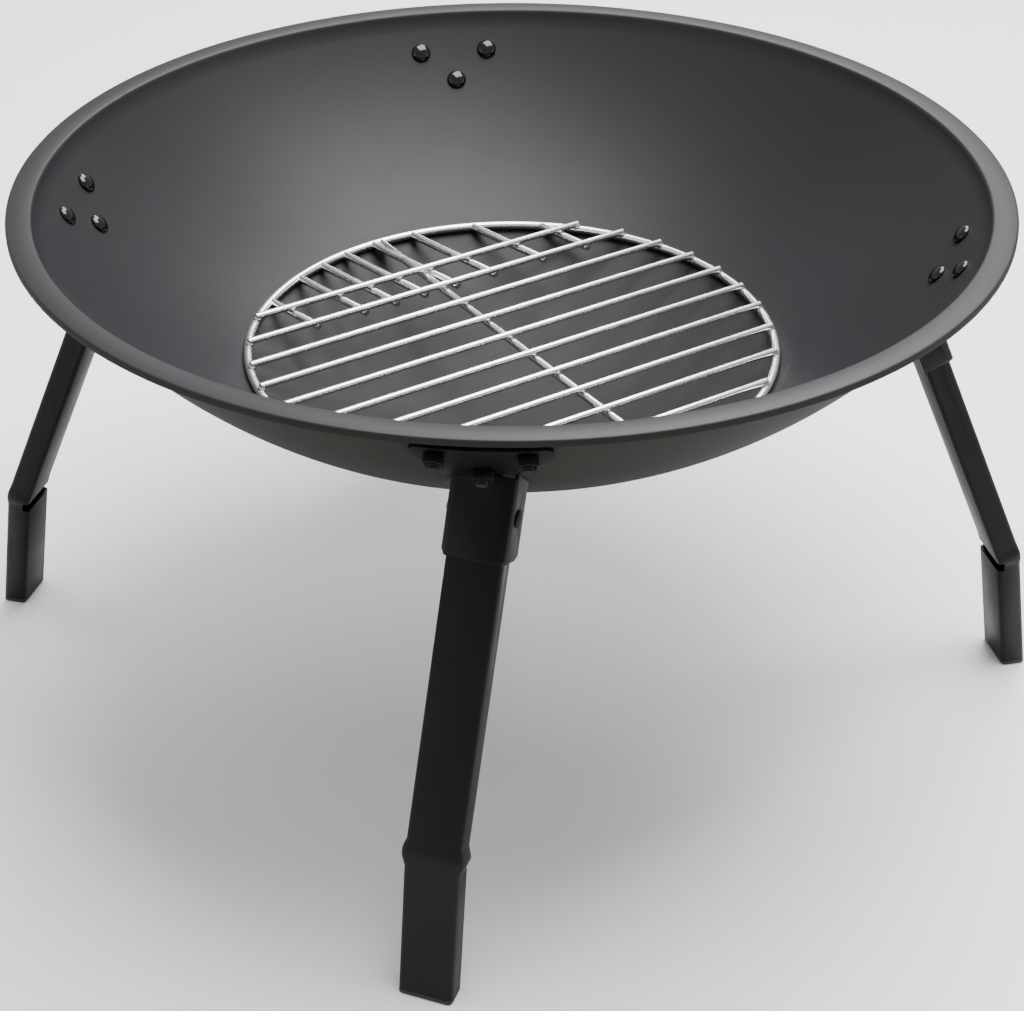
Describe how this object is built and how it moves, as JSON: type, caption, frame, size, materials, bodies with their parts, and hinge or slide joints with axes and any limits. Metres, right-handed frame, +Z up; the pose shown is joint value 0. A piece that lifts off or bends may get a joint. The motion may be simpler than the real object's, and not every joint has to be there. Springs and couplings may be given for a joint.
{
  "type": "folding fire bowl grill",
  "caption": "Round pressed-steel fire bowl on folding bent-tube legs, with a lift-out chromed wire grate lying low in the bowl.",
  "frame": {"origin": "on the floor under the centre of the bowl", "axes": "+Z up, the front leg stands towards -Y"},
  "size_m": [0.6551, 0.6502, 0.313],
  "materials": {
    "bowl_enamel": "satin dark grey heat-proof paint",
    "grate_chrome": "chromed steel wire",
    "leg_black": "semi-gloss black paint",
    "bolt_gloss_black": "gloss black",
    "fastener_black": "black oxide",
    "plug_black": "matt black"
  },
  "bodies": {
    "bowl": {"fire_bowl": "bowl_enamel", "front_bracket": "leg_black", "front_pivot_pin": "fastener_black", "front_bolt_upper_a": "bolt_gloss_black", "front_bolt_upper_b": "bolt_gloss_black", "front_bolt_lower": "bolt_gloss_black", "front_nut_upper_a": "fastener_black", "front_nut_upper_b": "fastener_black", "front_nut_lower": "fastener_black", "right_bracket": "leg_black", "right_pivot_pin": "fastener_black", "right_bolt_upper_a": "bolt_gloss_black", "right_bolt_upper_b": "bolt_gloss_black", "right_bolt_lower": "bolt_gloss_black", "right_nut_upper_a": "fastener_black", "right_nut_upper_b": "fastener_black", "right_nut_lower": "fastener_black", "back_bracket": "leg_black", "back_pivot_pin": "fastener_black", "back_bolt_upper_a": "bolt_gloss_black", "back_bolt_upper_b": "bolt_gloss_black", "back_bolt_lower": "bolt_gloss_black", "back_nut_upper_a": "fastener_black", "back_nut_upper_b": "fastener_black", "back_nut_lower": "fastener_black", "left_bracket": "leg_black", "left_pivot_pin": "fastener_black", "left_bolt_upper_a": "bolt_gloss_black", "left_bolt_upper_b": "bolt_gloss_black", "left_bolt_lower": "bolt_gloss_black", "left_nut_upper_a": "fastener_black", "left_nut_upper_b": "fastener_black", "left_nut_lower": "fastener_black"},
    "grate": {"grate": "grate_chrome"},
    "front_leg": {"front_leg": "leg_black", "front_foot_plug": "plug_black"},
    "right_leg": {"right_leg": "leg_black", "right_foot_plug": "plug_black"},
    "back_leg": {"back_leg": "leg_black", "back_foot_plug": "plug_black"},
    "left_leg": {"left_leg": "leg_black", "left_foot_plug": "plug_black"}
  },
  "joints": [
    {"name": "grate_lift", "type": "slide", "parent": "bowl", "child": "grate", "axis": [0, 0, 1], "range_m": [0, 0.11]},
    {"name": "front_leg_fold", "type": "hinge", "parent": "bowl", "child": "front_leg", "pos_m": [0.01607, -0.2354, 0.24495], "axis": [0.9744, -0.225, 0], "range_deg": [0, 80]},
    {"name": "right_leg_fold", "type": "hinge", "parent": "bowl", "child": "right_leg", "pos_m": [0.2312, -0.01401, 0.24495], "axis": [-0.342, 0.9397, 0], "range_deg": [0, 70]},
    {"name": "back_leg_fold", "type": "hinge", "parent": "bowl", "child": "back_leg", "pos_m": [-0.06622, 0.22842, 0.24495], "axis": [-0.9994, 0.0349, 0], "range_deg": [0, 80]},
    {"name": "left_leg_fold", "type": "hinge", "parent": "bowl", "child": "left_leg", "pos_m": [-0.23877, -0.00994, 0.24495], "axis": [-0.1392, -0.9903, 0], "range_deg": [0, 80]}
  ]
}
